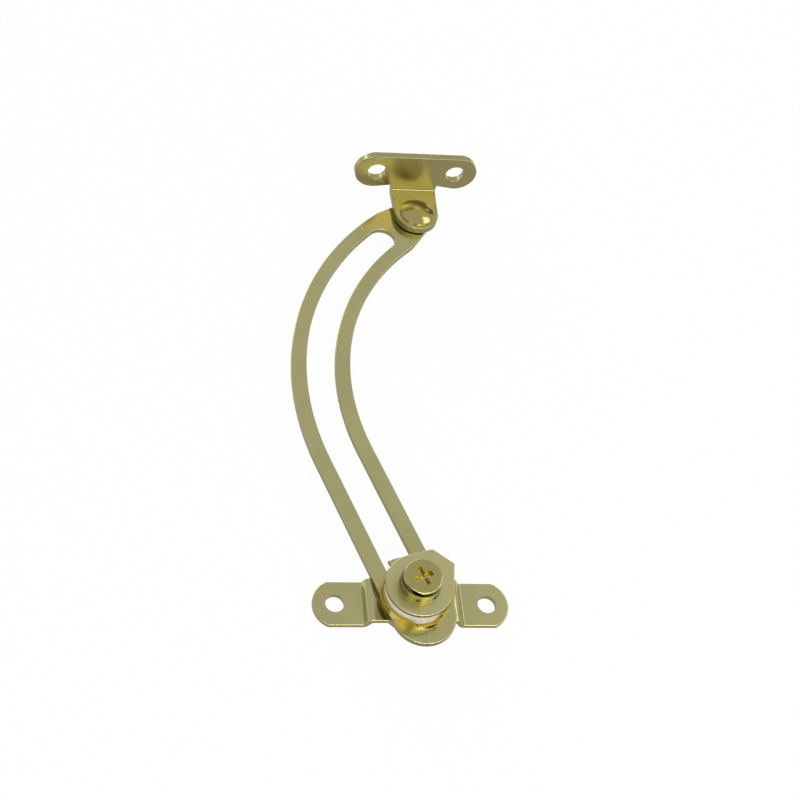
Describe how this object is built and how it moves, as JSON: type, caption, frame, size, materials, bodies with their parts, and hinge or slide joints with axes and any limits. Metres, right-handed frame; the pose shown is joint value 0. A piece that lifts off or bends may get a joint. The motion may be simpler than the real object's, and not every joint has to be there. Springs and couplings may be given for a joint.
{
  "type": "lid stay",
  "caption": "Friction lid stay: base bracket with an adjustable clamp, bent slotted arm and L-shaped lid bracket on a rivet.",
  "frame": {"origin": "midway between the two screw holes of the base bracket, on its mounting face", "axes": "+X runs through the two base holes, +Y points from the base bracket towards the lid bracket, +Z points away from the wall that the base bracket is screwed to"},
  "size_m": [0.0534, 0.1404, 0.0195],
  "materials": {
    "plated_sheet": "brass plated, polished",
    "plated_screw": "brass plated, bright",
    "white_plastic": "semi-gloss"
  },
  "bodies": {
    "base": {"base_bracket": "plated_sheet", "seat_washer": "plated_screw", "clamp_plate": "plated_sheet", "plain_washer": "plated_screw", "spring_washer": "plated_screw", "clamp_screw": "plated_screw"},
    "slider": {"friction_disc": "white_plastic", "arm_washer": "plated_screw"},
    "arm": {"slotted_arm": "plated_sheet", "pivot_washer": "plated_screw", "pivot_rivet": "plated_screw"},
    "lid": {"lid_bracket": "plated_sheet"}
  },
  "joints": [
    {"name": "arm_swing", "type": "hinge", "parent": "base", "child": "slider", "pos_m": [0, 0, 0], "axis": [0, 0, 1], "continuous": true},
    {"name": "arm_travel", "type": "slide", "parent": "slider", "child": "arm", "axis": [0.3414, -0.9399, 0], "range_m": [-0.0046, 0.0394]},
    {"name": "lid_swing", "type": "hinge", "parent": "arm", "child": "lid", "pos_m": [0.01181, 0.11678, 0], "axis": [0, 0, 1], "continuous": true}
  ]
}
